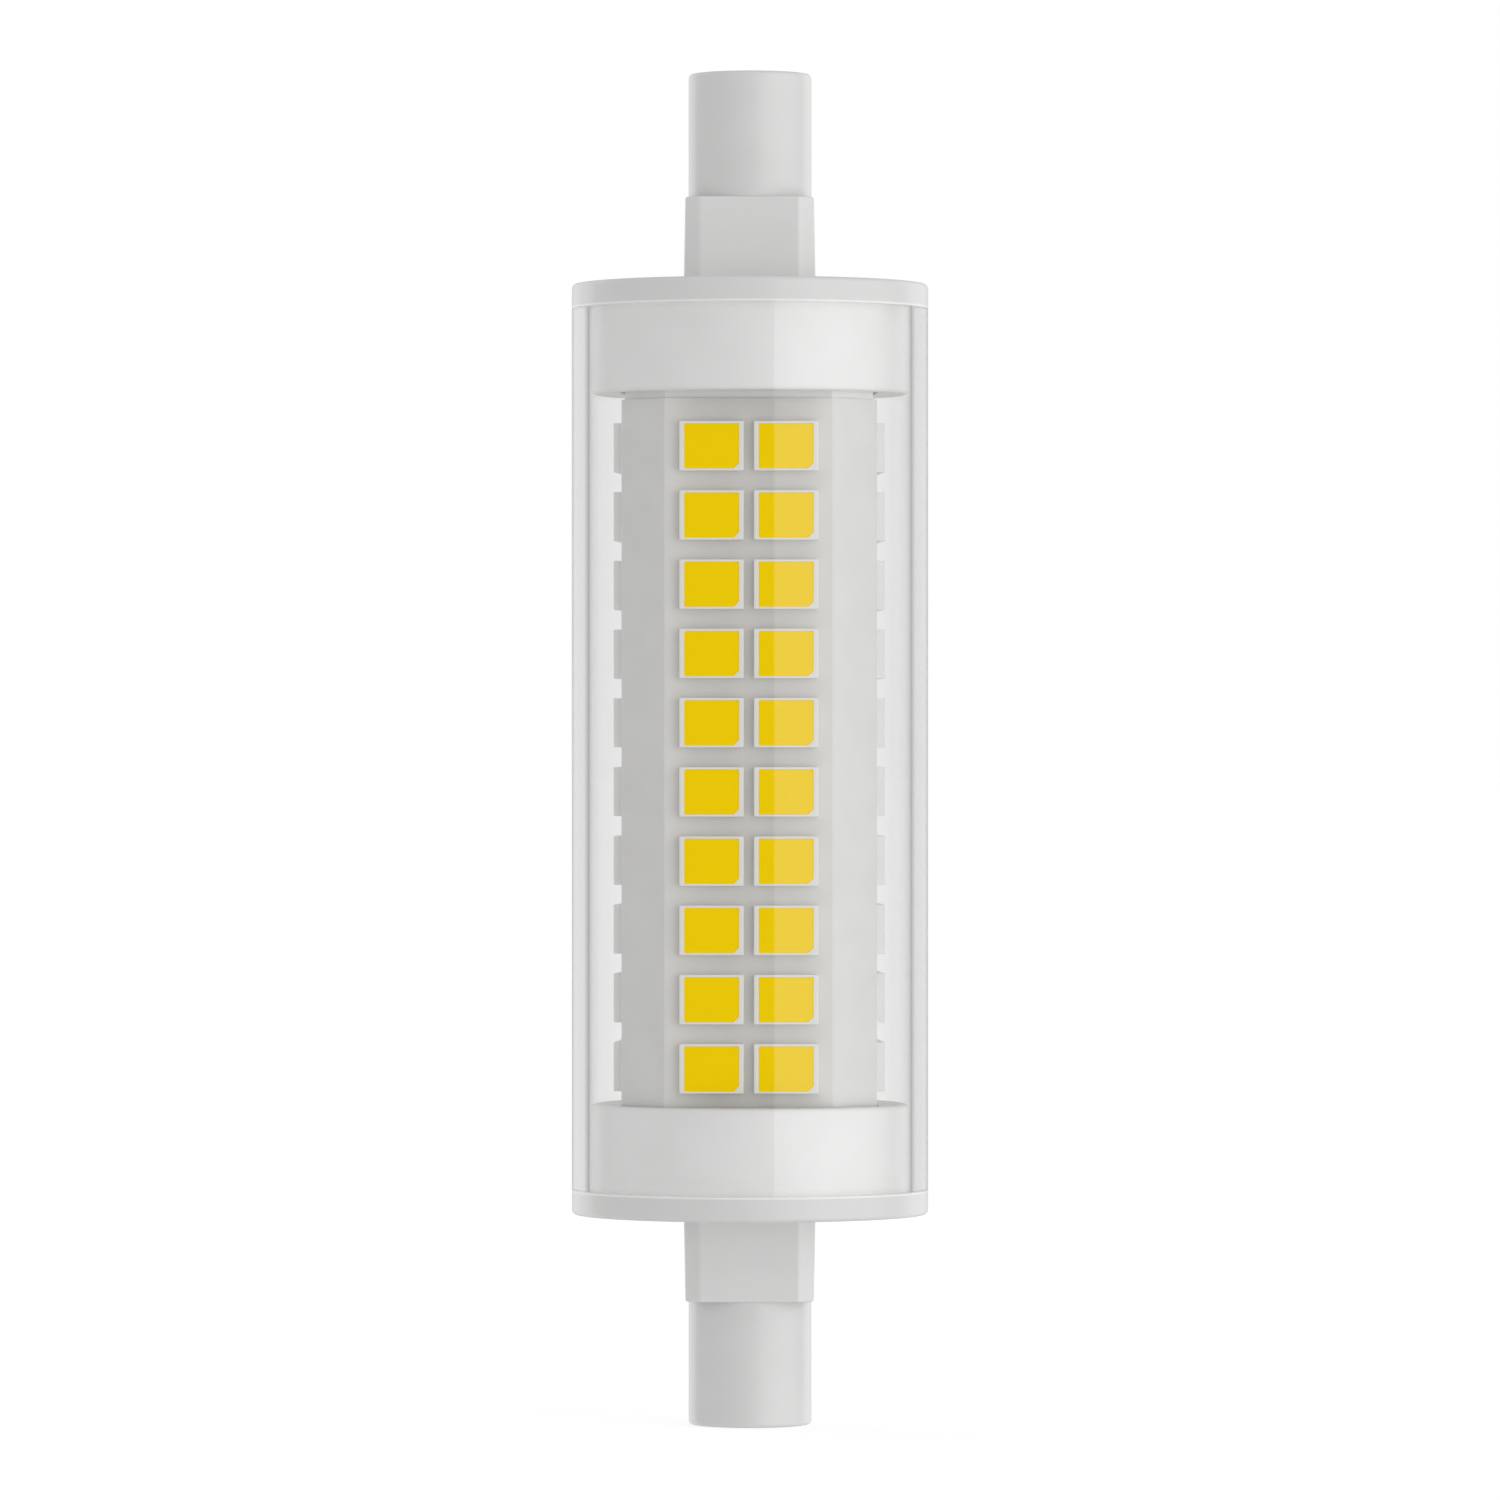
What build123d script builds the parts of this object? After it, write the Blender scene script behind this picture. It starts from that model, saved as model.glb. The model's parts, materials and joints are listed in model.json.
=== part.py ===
from build123d import *
import os
from math import floor, sqrt

# Double-ended linear LED bulb: a clear tube between two moulded end caps, with a thin board of
# surface-mount LEDs folded round a carrier tube, and a small mains driver inside the carrier.
# The bulb stands on the end of its lower pin. The origin is the centre of that end, +Z runs along
# the bulb's axis and the front of the carrier looks along -Y. Sizes are in millimetres.

# Whole bulb
bulb_length = 78.0

# Clear tube
tube_diameter = 20.6
tube_wall = 1.0
tube_joint = 0.04  # cement line between each end of the tube and its flange

# End caps: pin, neck, flange and spigot
pin_diameter = 7.1
pin_length = 7.23
pin_edge_cut = 0.25
neck_width = 7.57  # across flats, where the neck meets the flange
neck_length = 4.9
neck_corner_cut = 0.87
neck_draft = 1.0  # degrees
flange_thickness = 1.43
flange_edge_cut = 0.25
spigot_length = 5.0
spigot_clearance = 0.1  # between the spigot and the tube

# Inside the end caps
core_diameter = 4.2  # way for the lead wire through the neck and the pin
pocket_depth = 4.0  # pocket that holds the end of the carrier
pocket_wall = 0.6  # least wall of the spigot round the pocket
pocket_clearance = 0.1
board_seat_depth = 0.5  # step at the pocket's mouth, where the LED board stands
slot_depth = 1.0  # slot in the pocket's floor that holds the driver board
slot_clearance = 0.1

# Contacts, recessed in the ends of the pins
recess_diameter = 3.6
recess_depth = 1.6
web_thickness = 2.0  # wall of the pin that holds the contact's shank
contact_clearance = 0.03
contact_head_diameter = 3.0
contact_head_thickness = 0.8
contact_shank_diameter = 1.5
contact_shank_end = 0.4  # length of shank beyond the web, where the lead wire is welded

# Carrier tube and LED board
carrier_corner_cut = 2.26
carrier_wall = 0.8
carrier_end_play = 0.1
board_thickness = 0.2
board_end_gap = 0.42  # between the board's upper end and the upper cap
board_seam = 0.4  # gap where the two edges of the folded board meet
board_seam_angle = 135  # degrees from +X, on a rear corner

# LEDs
led_width = 3.55
led_height = 2.82
led_thickness = 0.47
led_column_gap = 0.57
led_row_gap = 1.125
led_side_margin = 0.6  # least bare board beside the columns
led_end_margin = 1.0  # least bare board beyond the rows
phosphor_side_border = 0.26
phosphor_end_border = 0.125
phosphor_corner_cut = 0.3
phosphor_cavity_depth = 0.3
phosphor_recess = 0.03

# Lead wires from the contacts to the driver board
lead_diameter = 0.8
lead_clearance = 0.02  # between the wire and the driver board
lead_overlap = 3.5  # length of wire that lies along the driver board

# Square pins from the driver board to the LED board
led_pin_width = 0.6
led_pin_spread = 3.0
led_pin_clearance = 0.05
led_pin_proud = 0.2  # length of pin outside the LED board

# Driver board
driver_thickness = 1.0
driver_side_clearance = 0.3
driver_end_play = 0.1
driver_corner_cut = 0.6
front_gap = 1.5  # between parts on the front of the driver board
back_gap = 3.0  # between parts on its back

# Tall parts on the front of the driver board
wire_diameter = 0.6
wire_reach = 1.2  # from the end of the can to the bend of its wires
seat_clearance = 0.05  # between the lying can and the board
capacitor_diameter = 5.0
capacitor_length = 11.0
capacitor_wire_spread = 2.0
fuse_width = 6.1
fuse_length = 2.6
fuse_height = 2.2
inductor_width = 6.6
inductor_height = 4.0
inductor_corner_cut = 1.0
inductor_base = 0.6

# Surface-mount parts on the back of the driver board
smd_lead_thickness = 0.2
smd_lead_shoulder = 0.3
smd_lead_foot = 1.0
smd_standoff = 0.1
bridge_width = 3.8
bridge_length = 4.7
bridge_height = 2.5
bridge_lead_pitch = 2.5
bridge_lead_width = 0.6
chip_width = 3.9
chip_length = 4.9
chip_height = 1.6
chip_lead_pitch = 1.27
chip_lead_width = 0.42
diode_width = 4.3
diode_length = 2.6
diode_height = 2.2
diode_lead_width = 1.4
resistor_width = 3.2
resistor_length = 1.6
resistor_height = 0.55
resistor_spread = 4.4
output_width = 3.2
output_length = 2.5
output_height = 1.8
end_metal_width = 0.5  # metal ends of the fuse, the resistors and the output capacitor
end_metal_thickness = 0.04

# Radii
tube_radius = tube_diameter / 2
bore_radius = tube_radius - tube_wall
spigot_radius = bore_radius - spigot_clearance
pin_radius = pin_diameter / 2
contact_head_radius = contact_head_diameter / 2
contact_shank_radius = contact_shank_diameter / 2
lead_radius = lead_diameter / 2
wire_radius = wire_diameter / 2

# Heights in the lower end cap
flange_bottom = pin_length + neck_length
flange_top = flange_bottom + flange_thickness
spigot_top = flange_top + spigot_length
pocket_floor = spigot_top - pocket_depth
slot_floor = pocket_floor - slot_depth
contact_seat = recess_depth + contact_head_thickness
web_top = contact_seat + web_thickness
contact_top = web_top + contact_shank_end
middle_plane = Plane.XY.offset(bulb_length / 2)

# Carrier: the mouth of the pocket leaves the least wall at its eight corners, and the LED board, the
# carrier's outside and its inside lie within that outline, all parallel to it
mouth_growth = board_thickness + pocket_clearance
corner_growth = 2 - sqrt(2)  # how much more a corner is cut as the outline grows
mouth_corner_radius = spigot_radius - pocket_wall
mouth_corner_cut = carrier_corner_cut + corner_growth * mouth_growth
mouth_half_width = (mouth_corner_cut + sqrt(2 * mouth_corner_radius**2 - mouth_corner_cut**2)) / 2
carrier_half_width = mouth_half_width - mouth_growth
carrier_inner_half_width = carrier_half_width - carrier_wall

# LED board and the pattern of LEDs on one of its wide faces
board_half_width = carrier_half_width + board_thickness
board_bottom = spigot_top - board_seat_depth
board_top = bulb_length - spigot_top - board_end_gap
board_length = board_top - board_bottom
board_middle = (board_top + board_bottom) / 2
board_corner_cut = carrier_corner_cut + corner_growth * board_thickness
board_face_width = 2 * (board_half_width - board_corner_cut)
led_column_pitch = led_width + led_column_gap
led_row_pitch = led_height + led_row_gap
led_columns = 1 + floor((board_face_width - led_width - 2 * led_side_margin) / led_column_pitch)
led_rows = 1 + floor((board_length - led_height - 2 * led_end_margin) / led_row_pitch)
led_array_length = led_height + (led_rows - 1) * led_row_pitch
led_pin_height = board_top - (board_length - led_array_length) / 4

# Driver board: the lead wires, on the bulb's axis, lie along its front
driver_front = lead_radius + lead_clearance
driver_back = driver_front + driver_thickness
driver_width = 2 * (carrier_inner_half_width - driver_side_clearance)
driver_length = bulb_length - 2 * slot_floor - driver_end_play
front_plane = Plane(origin=(0, driver_front, 0), x_dir=(1, 0, 0), z_dir=(0, -1, 0))
back_plane = Plane(origin=(0, driver_back, 0), x_dir=(-1, 0, 0), z_dir=(0, 1, 0))

# Parts follow each other up both sides of the driver board
lead_end = slot_floor + lead_overlap
fuse_middle = lead_end + front_gap + fuse_length / 2
capacitor_bottom = fuse_middle + fuse_length / 2 + front_gap + wire_radius + wire_reach
capacitor_top = capacitor_bottom + capacitor_length
inductor_middle = capacitor_top + front_gap + inductor_width / 2
bridge_middle = lead_end + bridge_length / 2
chip_middle = bridge_middle + bridge_length / 2 + back_gap + chip_length / 2
diode_middle = chip_middle + chip_length / 2 + back_gap + diode_length / 2
resistor_middle = diode_middle + diode_length / 2 + back_gap + resistor_length / 2
output_middle = resistor_middle + resistor_length / 2 + back_gap + output_length / 2

os.makedirs("parts", exist_ok=True)


def cut_square(half_width, corner_cut, mode=Mode.ADD):
    """A square with its four corners cut off at 45 degrees, in the current sketch."""
    flat = half_width - corner_cut
    Polygon(
        (half_width, -flat),
        (half_width, flat),
        (flat, half_width),
        (-flat, half_width),
        (-half_width, flat),
        (-half_width, -flat),
        (-flat, -half_width),
        (flat, -half_width),
        align=None,
        mode=mode,
    )


def carrier_outline(growth, mode=Mode.ADD):
    """Outline of the carrier's outside, grown all round by growth, in the current sketch."""
    cut_square(carrier_half_width + growth, carrier_corner_cut + corner_growth * growth, mode)


def bent_wire(x, y, start, end):
    """Wire of a part that lies on the driver board: out of the part at height start, along the
    bulb's axis to height end, and down to the board's front."""
    with BuildPart() as wire:
        with BuildLine():
            Polyline((x, y, start), (x, y, end), (x, driver_front, end))
        with BuildSketch(Plane(origin=(x, y, start), z_dir=(0, 0, end - start))):
            Circle(wire_radius)
        sweep(transition=Transition.RIGHT)
    return wire.part


def leaded_package(place, width, length, height, lead_rows, lead_pitch, lead_width):
    """Moulded package on the back of the driver board, with bent leads along both sides."""
    half_width = width / 2
    shoulder_height = height / 2
    riser = half_width + smd_lead_shoulder
    with BuildPart() as package:
        with BuildSketch(back_plane.offset(smd_standoff)):
            with Locations((0, place)):
                Rectangle(width, length)
        extrude(amount=height - smd_standoff)
        for row in range(lead_rows):
            row_height = place + (row - (lead_rows - 1) / 2) * lead_pitch
            row_origin = (0, driver_back, row_height)
            with BuildSketch(Plane(origin=row_origin, x_dir=(-1, 0, 0), z_dir=(0, 0, -1))):
                Polygon(
                    (0, shoulder_height),
                    (riser + smd_lead_thickness, shoulder_height),
                    (riser + smd_lead_thickness, smd_lead_thickness),
                    (half_width + smd_lead_foot, smd_lead_thickness),
                    (half_width + smd_lead_foot, 0),
                    (riser, 0),
                    (riser, shoulder_height - smd_lead_thickness),
                    (0, shoulder_height - smd_lead_thickness),
                    align=None,
                )
                mirror(about=Plane.YZ)
            extrude(amount=lead_width / 2, both=True)
    return package.part


def chip_parts(board_face, place, width, length, height, count=1, spread=0):
    """Block-shaped chip parts side by side on a face of the driver board, each with metal ends."""
    with BuildPart() as chips:
        with BuildSketch(board_face):
            with Locations((0, place)):
                with GridLocations(spread, 0, count, 1):
                    Rectangle(width, length)
        extrude(amount=height)
        with BuildSketch(board_face):
            with Locations((0, place)):
                with GridLocations(spread, 0, count, 1):
                    with GridLocations(width - end_metal_width, 0, 2, 1):
                        Rectangle(end_metal_width, length + 2 * end_metal_thickness)
        extrude(amount=height + end_metal_thickness)
    return chips.part


# Lower end cap: one moulding
with BuildPart() as lower_end_cap:
    with BuildSketch(Plane.XY.offset(flange_bottom)):
        Circle(tube_radius)
    extrude(amount=flange_thickness)
    chamfer(lower_end_cap.faces().sort_by(Axis.Z)[0].edges(), flange_edge_cut)
    with BuildSketch(Plane.XY.offset(flange_top)):
        Circle(spigot_radius)
    extrude(amount=spigot_length)
    with BuildSketch(Plane(origin=(0, 0, flange_bottom), x_dir=(1, 0, 0), z_dir=(0, 0, -1))):
        cut_square(neck_width / 2, neck_corner_cut)
    extrude(amount=neck_length, taper=neck_draft)
    with BuildSketch():
        Circle(pin_radius)
    extrude(amount=pin_length)
    chamfer(lower_end_cap.faces().sort_by(Axis.Z)[0].edges(), pin_edge_cut)
    # Stepped pocket for the carrier and the LED board, with the driver board's slot in its floor
    with BuildSketch(Plane.XY.offset(pocket_floor)):
        carrier_outline(pocket_clearance)
    extrude(amount=pocket_depth, mode=Mode.SUBTRACT)
    with BuildSketch(Plane.XY.offset(board_bottom)):
        carrier_outline(mouth_growth)
    extrude(amount=board_seat_depth, mode=Mode.SUBTRACT)
    with BuildSketch(Plane.XY.offset(slot_floor)):
        with Locations((0, (driver_front + driver_back) / 2)):
            Rectangle(driver_width + 2 * slot_clearance, driver_thickness + 2 * slot_clearance)
    extrude(amount=slot_depth, mode=Mode.SUBTRACT)
    # Way for the lead wire, then the recess in the pin's end and the contact's stepped seat below it
    with Locations((0, 0, pocket_floor)):
        Hole(core_diameter / 2, depth=pocket_floor - web_top)
    with Locations(Plane(origin=(0, 0, 0), z_dir=(0, 0, -1))):
        Hole(recess_diameter / 2, depth=recess_depth)
        CounterBoreHole(
            radius=contact_shank_radius + contact_clearance,
            counter_bore_radius=contact_head_radius + contact_clearance,
            counter_bore_depth=contact_seat,
            depth=web_top,
        )
lower_end_cap.part.label = "lower_end_cap"
export_step(lower_end_cap.part, "parts/lower_end_cap.step")

# Upper end cap: the same moulding, the other way up
with BuildPart() as upper_end_cap:
    mirror(lower_end_cap.part, about=middle_plane)
upper_end_cap.part.label = "upper_end_cap"
export_step(upper_end_cap.part, "parts/upper_end_cap.step")

# Contacts: a head at the bottom of the recess, and a shank through the web
with BuildPart() as lower_contact:
    with BuildSketch(Plane.XY.offset(recess_depth)):
        Circle(contact_head_radius)
    extrude(amount=contact_head_thickness)
    with BuildSketch(Plane.XY.offset(contact_seat)):
        Circle(contact_shank_radius)
    extrude(amount=contact_top - contact_seat)
lower_contact.part.label = "lower_contact"
export_step(lower_contact.part, "parts/lower_contact.step")

with BuildPart() as upper_contact:
    mirror(lower_contact.part, about=middle_plane)
upper_contact.part.label = "upper_contact"
export_step(upper_contact.part, "parts/upper_contact.step")

# Clear tube between the two flanges
with BuildPart() as clear_tube:
    with BuildSketch(Plane.XY.offset(flange_top + tube_joint)):
        Circle(tube_radius)
        Circle(bore_radius, mode=Mode.SUBTRACT)
    extrude(amount=bulb_length - 2 * (flange_top + tube_joint))
clear_tube.part.label = "clear_tube"
export_step(clear_tube.part, "parts/clear_tube.step")

# Carrier tube: stands on the floor of the lower pocket, with a window for the LED board's pins
led_pin_plane = Plane(origin=(0, driver_back, led_pin_height), x_dir=(-1, 0, 0), z_dir=(0, 1, 0))
led_pin_hole = led_pin_width + 2 * led_pin_clearance
with BuildPart() as carrier_tube:
    with BuildSketch(Plane.XY.offset(pocket_floor)):
        carrier_outline(0)
        carrier_outline(-carrier_wall, mode=Mode.SUBTRACT)
    extrude(amount=bulb_length - 2 * pocket_floor - carrier_end_play)
    with BuildSketch(led_pin_plane):
        Rectangle(led_pin_spread + led_pin_hole, led_pin_hole)
    extrude(amount=carrier_half_width, mode=Mode.SUBTRACT)
carrier_tube.part.label = "carrier_tube"
export_step(carrier_tube.part, "parts/carrier_tube.step")

# LED board: one sheet folded round the carrier, with its seam on a rear corner
with BuildPart() as led_board:
    with BuildSketch(Plane.XY.offset(board_bottom)):
        carrier_outline(board_thickness)
        carrier_outline(0, mode=Mode.SUBTRACT)
        with Locations(Location((0, 0, 0), (0, 0, board_seam_angle))):
            Rectangle(tube_radius, board_seam, align=(Align.MIN, Align.CENTER), mode=Mode.SUBTRACT)
    extrude(amount=board_length)
    with BuildSketch(led_pin_plane):
        with GridLocations(led_pin_spread, 0, 2, 1):
            Rectangle(led_pin_hole, led_pin_hole)
    extrude(amount=tube_radius, mode=Mode.SUBTRACT)
led_board.part.label = "led_board"
export_step(led_board.part, "parts/led_board.step")

# LEDs: a white housing with a cavity for the phosphor, whose lower right corner is cut off
cavity_half_width = led_width / 2 - phosphor_side_border
cavity_half_height = led_height / 2 - phosphor_end_border
with BuildSketch() as cavity:
    Polygon(
        (-cavity_half_width, -cavity_half_height),
        (cavity_half_width - phosphor_corner_cut, -cavity_half_height),
        (cavity_half_width, phosphor_corner_cut - cavity_half_height),
        (cavity_half_width, cavity_half_height),
        (-cavity_half_width, cavity_half_height),
        align=None,
    )

outward = {"front": (0, -1), "right": (1, 0), "rear": (0, 1), "left": (-1, 0)}
for side, (out_x, out_y) in outward.items():
    led_face = Plane(
        origin=(out_x * board_half_width, out_y * board_half_width, board_middle),
        x_dir=(-out_y, out_x, 0),
        z_dir=(out_x, out_y, 0),
    )
    with BuildPart() as led_housings:
        with BuildSketch(led_face):
            with GridLocations(led_column_pitch, led_row_pitch, led_columns, led_rows):
                Rectangle(led_width, led_height)
        extrude(amount=led_thickness)
        with BuildSketch(led_face.offset(led_thickness)):
            with GridLocations(led_column_pitch, led_row_pitch, led_columns, led_rows):
                add(cavity.sketch)
        extrude(amount=-phosphor_cavity_depth, mode=Mode.SUBTRACT)
    led_housings.part.label = f"led_housings_{side}"
    export_step(led_housings.part, f"parts/led_housings_{side}.step")

    with BuildPart() as led_phosphor:
        with BuildSketch(led_face.offset(led_thickness - phosphor_cavity_depth)):
            with GridLocations(led_column_pitch, led_row_pitch, led_columns, led_rows):
                add(cavity.sketch)
        extrude(amount=phosphor_cavity_depth - phosphor_recess)
    led_phosphor.part.label = f"led_phosphor_{side}"
    export_step(led_phosphor.part, f"parts/led_phosphor_{side}.step")

# Driver board: stands in the slots of both caps
with BuildPart() as driver_board:
    with BuildSketch(front_plane) as driver_outline:
        with Locations((0, slot_floor + driver_length / 2)):
            Rectangle(driver_width, driver_length)
        chamfer(driver_outline.vertices(), driver_corner_cut)
    extrude(amount=-driver_thickness)
driver_board.part.label = "driver_board"
export_step(driver_board.part, "parts/driver_board.step")

# Lead wires: from the contact along the axis to the front of the driver board
with BuildPart() as lower_lead_wire:
    with BuildSketch(Plane.XY.offset(contact_top)):
        Circle(lead_radius)
    extrude(amount=lead_end - contact_top)
lower_lead_wire.part.label = "lower_lead_wire"
export_step(lower_lead_wire.part, "parts/lower_lead_wire.step")

with BuildPart() as upper_lead_wire:
    mirror(lower_lead_wire.part, about=middle_plane)
upper_lead_wire.part.label = "upper_lead_wire"
export_step(upper_lead_wire.part, "parts/upper_lead_wire.step")

# Pins from the back of the driver board through the carrier and the LED board
for pole, side in (("positive", 1), ("negative", -1)):
    with BuildPart() as led_pin:
        with BuildSketch(led_pin_plane):
            with Locations((side * led_pin_spread / 2, 0)):
                Rectangle(led_pin_width, led_pin_width)
        extrude(amount=board_half_width + led_pin_proud - driver_back)
    led_pin.part.label = f"led_pin_{pole}"
    export_step(led_pin.part, f"parts/led_pin_{pole}.step")

# Fuse: a block across the front of the driver board
with BuildPart() as input_fuse:
    add(chip_parts(front_plane, fuse_middle, fuse_width, fuse_length, fuse_height))
input_fuse.part.label = "input_fuse"
export_step(input_fuse.part, "parts/input_fuse.step")

# Smoothing capacitor: a can lying along the board, with both wires at its lower end
with BuildPart() as smoothing_capacitor:
    can_radius = capacitor_diameter / 2
    can_y = driver_front - seat_clearance - can_radius
    with BuildSketch(Plane.XY.offset(capacitor_bottom)):
        with Locations((0, can_y)):
            Circle(can_radius)
    extrude(amount=capacitor_length)
    for side in (-1, 1):
        wire_x = side * capacitor_wire_spread / 2
        add(bent_wire(wire_x, can_y, capacitor_bottom, capacitor_bottom - wire_reach))
smoothing_capacitor.part.label = "smoothing_capacitor"
export_step(smoothing_capacitor.part, "parts/smoothing_capacitor.step")

# Power inductor: a shielded block with its corners cut off, on a square base
with BuildPart() as power_inductor:
    with BuildSketch(front_plane):
        with Locations((0, inductor_middle)):
            Rectangle(inductor_width, inductor_width)
    extrude(amount=inductor_base)
    with BuildSketch(front_plane.offset(inductor_base)):
        with Locations((0, inductor_middle)):
            cut_square(inductor_width / 2, inductor_corner_cut)
    extrude(amount=inductor_height - inductor_base)
power_inductor.part.label = "power_inductor"
export_step(power_inductor.part, "parts/power_inductor.step")

# Surface-mount parts on the back of the driver board
with BuildPart() as bridge_rectifier:
    add(
        leaded_package(
            bridge_middle,
            bridge_width,
            bridge_length,
            bridge_height,
            lead_rows=2,
            lead_pitch=bridge_lead_pitch,
            lead_width=bridge_lead_width,
        )
    )
bridge_rectifier.part.label = "bridge_rectifier"
export_step(bridge_rectifier.part, "parts/bridge_rectifier.step")

with BuildPart() as driver_chip:
    add(
        leaded_package(
            chip_middle,
            chip_width,
            chip_length,
            chip_height,
            lead_rows=4,
            lead_pitch=chip_lead_pitch,
            lead_width=chip_lead_width,
        )
    )
driver_chip.part.label = "driver_chip"
export_step(driver_chip.part, "parts/driver_chip.step")

with BuildPart() as freewheel_diode:
    add(
        leaded_package(
            diode_middle,
            diode_width,
            diode_length,
            diode_height,
            lead_rows=1,
            lead_pitch=0,
            lead_width=diode_lead_width,
        )
    )
freewheel_diode.part.label = "freewheel_diode"
export_step(freewheel_diode.part, "parts/freewheel_diode.step")

with BuildPart() as sense_resistors:
    add(
        chip_parts(
            back_plane,
            resistor_middle,
            resistor_width,
            resistor_length,
            resistor_height,
            count=2,
            spread=resistor_spread,
        )
    )
sense_resistors.part.label = "sense_resistors"
export_step(sense_resistors.part, "parts/sense_resistors.step")

with BuildPart() as output_capacitor:
    add(chip_parts(back_plane, output_middle, output_width, output_length, output_height))
output_capacitor.part.label = "output_capacitor"
export_step(output_capacitor.part, "parts/output_capacitor.step")
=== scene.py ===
import json
import math

import bmesh
import bpy
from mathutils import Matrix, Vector


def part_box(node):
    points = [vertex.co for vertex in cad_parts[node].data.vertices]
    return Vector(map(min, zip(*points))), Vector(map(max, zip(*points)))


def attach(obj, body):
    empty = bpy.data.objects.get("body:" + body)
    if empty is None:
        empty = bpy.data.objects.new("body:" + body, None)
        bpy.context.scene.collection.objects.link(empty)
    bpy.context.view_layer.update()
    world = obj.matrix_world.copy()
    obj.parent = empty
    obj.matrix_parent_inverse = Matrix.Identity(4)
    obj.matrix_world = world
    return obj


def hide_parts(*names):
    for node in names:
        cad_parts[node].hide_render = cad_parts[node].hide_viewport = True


# Double-ended linear LED bulb on a white studio floor. The frame's boxes and the sizes below, in
# millimetres, place every piece; meshes are made in millimetres and stored in metres.

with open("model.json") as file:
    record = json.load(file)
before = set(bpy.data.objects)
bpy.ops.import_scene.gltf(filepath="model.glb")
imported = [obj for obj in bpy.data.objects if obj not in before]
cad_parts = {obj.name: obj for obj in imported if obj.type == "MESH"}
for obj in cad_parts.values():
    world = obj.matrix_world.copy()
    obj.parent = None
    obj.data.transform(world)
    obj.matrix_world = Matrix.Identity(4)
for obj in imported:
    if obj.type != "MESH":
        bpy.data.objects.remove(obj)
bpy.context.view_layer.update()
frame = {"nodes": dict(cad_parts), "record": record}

MM = 0.001

# Sizes of the end caps
pin_radius = 3.55
pin_length = 7.23
pin_edge = 0.25
neck_half_width = 3.785
neck_top_inset = 0.0855
neck_corner_cut = 0.87
neck_corner_radius = 0.45
neck_edge = 0.12
flange_bottom = 12.13
flange_top = 13.56
flange_edge = 0.28
ledge_fall = 0.02
spigot_radius = 9.2
spigot_top = 18.56
spigot_edge = 0.2
recess_radius = 1.8
recess_depth = 1.6
recess_edge = 0.15
seat_radius = 1.53
seat_depth = 2.4
shank_hole_radius = 0.78
web_top = 4.4
core_radius = 2.1
pocket_floor = 14.56
pocket_clearance = 0.1

# Contacts
contact_radius = 1.5
contact_edge = 0.12
contact_crown = 0.06
shank_radius = 0.75
contact_top = 4.8

# Clear tube
tube_wall = 1.0
tube_edge = 0.03

# LED board and carrier
board_thickness = 0.2
carrier_corner_cut = 2.26
corner_growth = 2 - math.sqrt(2)
fold_radius = 0.3
inner_fold_radius = 0.05
board_seam = 0.4

# LEDs
led_columns = 2
led_rows = 10
led_width = 3.55
led_height = 2.82
led_corner_radius = 0.05
led_edge = 0.04
led_side_border = 0.26
led_end_border = 0.125
cavity_depth = 0.3
cavity_corner_radius = 0.07
cavity_corner_cut = 0.3
cavity_edge = 0.02
fill_recess = 0.03
fill_crown = 0.02
fill_gap = 0.002

# Solder on the two pins that come through the rear of the LED board
solder_radius = 0.58
solder_height = 0.3
solder_narrowing = 0.62
solder_bulge = 0.6

# Mesh fineness
FLAT_STEPS = 22
CORNER_STEPS = 4
CUT_STEPS = 4
EDGE_STEPS = 4
TUBE_STEPS = 256
CONTACT_STEPS = 64
SOLDER_STEPS = 32
SOLDER_RINGS = 8
FILL_SHARES = (0.9, 0.7, 0.45, 0.2)
SHARP_ANGLE = math.radians(40)

# Noise textures: most of their values lie between these two, and patches have more detail than grain
NOISE_LOW = 0.3
NOISE_HIGH = 0.7
PATCH_DETAIL = 3.0
GRAIN_DETAIL = 2.0

WHITE = (1.0, 1.0, 1.0)


def box_mm(node):
    """Lowest and highest corner of a CAD node, in millimetres."""
    low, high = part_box(node)
    return Vector(low) / MM, Vector(high) / MM


def unit(angle):
    return math.cos(angle), math.sin(angle)


def chamfered_square(half_width, corner_cut, corner_radius):
    """Outline of a square with cut corners, as points with outward normals, anticlockwise from the
    lower end of the side that faces +X."""
    edge = half_width - corner_cut - corner_radius * math.tan(math.pi / 8)
    shoulder = half_width - corner_radius
    reach = math.atan2(edge, half_width)
    corner = math.pi / 4
    quarter = []
    for step in range(FLAT_STEPS + 1):
        angle = reach * (2 * step / FLAT_STEPS - 1)
        quarter.append(((half_width, half_width * math.tan(angle)), (1.0, 0.0)))
    for step in range(1, CORNER_STEPS):
        nx, ny = unit(corner * step / CORNER_STEPS)
        quarter.append(((shoulder + corner_radius * nx, edge + corner_radius * ny), (nx, ny)))
    nx, ny = unit(corner)
    start = (shoulder + corner_radius * nx, edge + corner_radius * ny)
    end = (edge + corner_radius * nx, shoulder + corner_radius * ny)
    for step in range(CUT_STEPS + 1):
        share = step / CUT_STEPS
        x = start[0] + share * (end[0] - start[0])
        y = start[1] + share * (end[1] - start[1])
        quarter.append(((x, y), (nx, ny)))
    for step in range(1, CORNER_STEPS):
        nx, ny = unit(corner + corner * step / CORNER_STEPS)
        quarter.append(((edge + corner_radius * nx, shoulder + corner_radius * ny), (nx, ny)))
    outline = []
    for turns in range(4):
        for (x, y), (nx, ny) in quarter:
            for turn in range(turns):
                x, y = -y, x
                nx, ny = -ny, nx
            outline.append(((x, y), (nx, ny)))
    return outline


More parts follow.
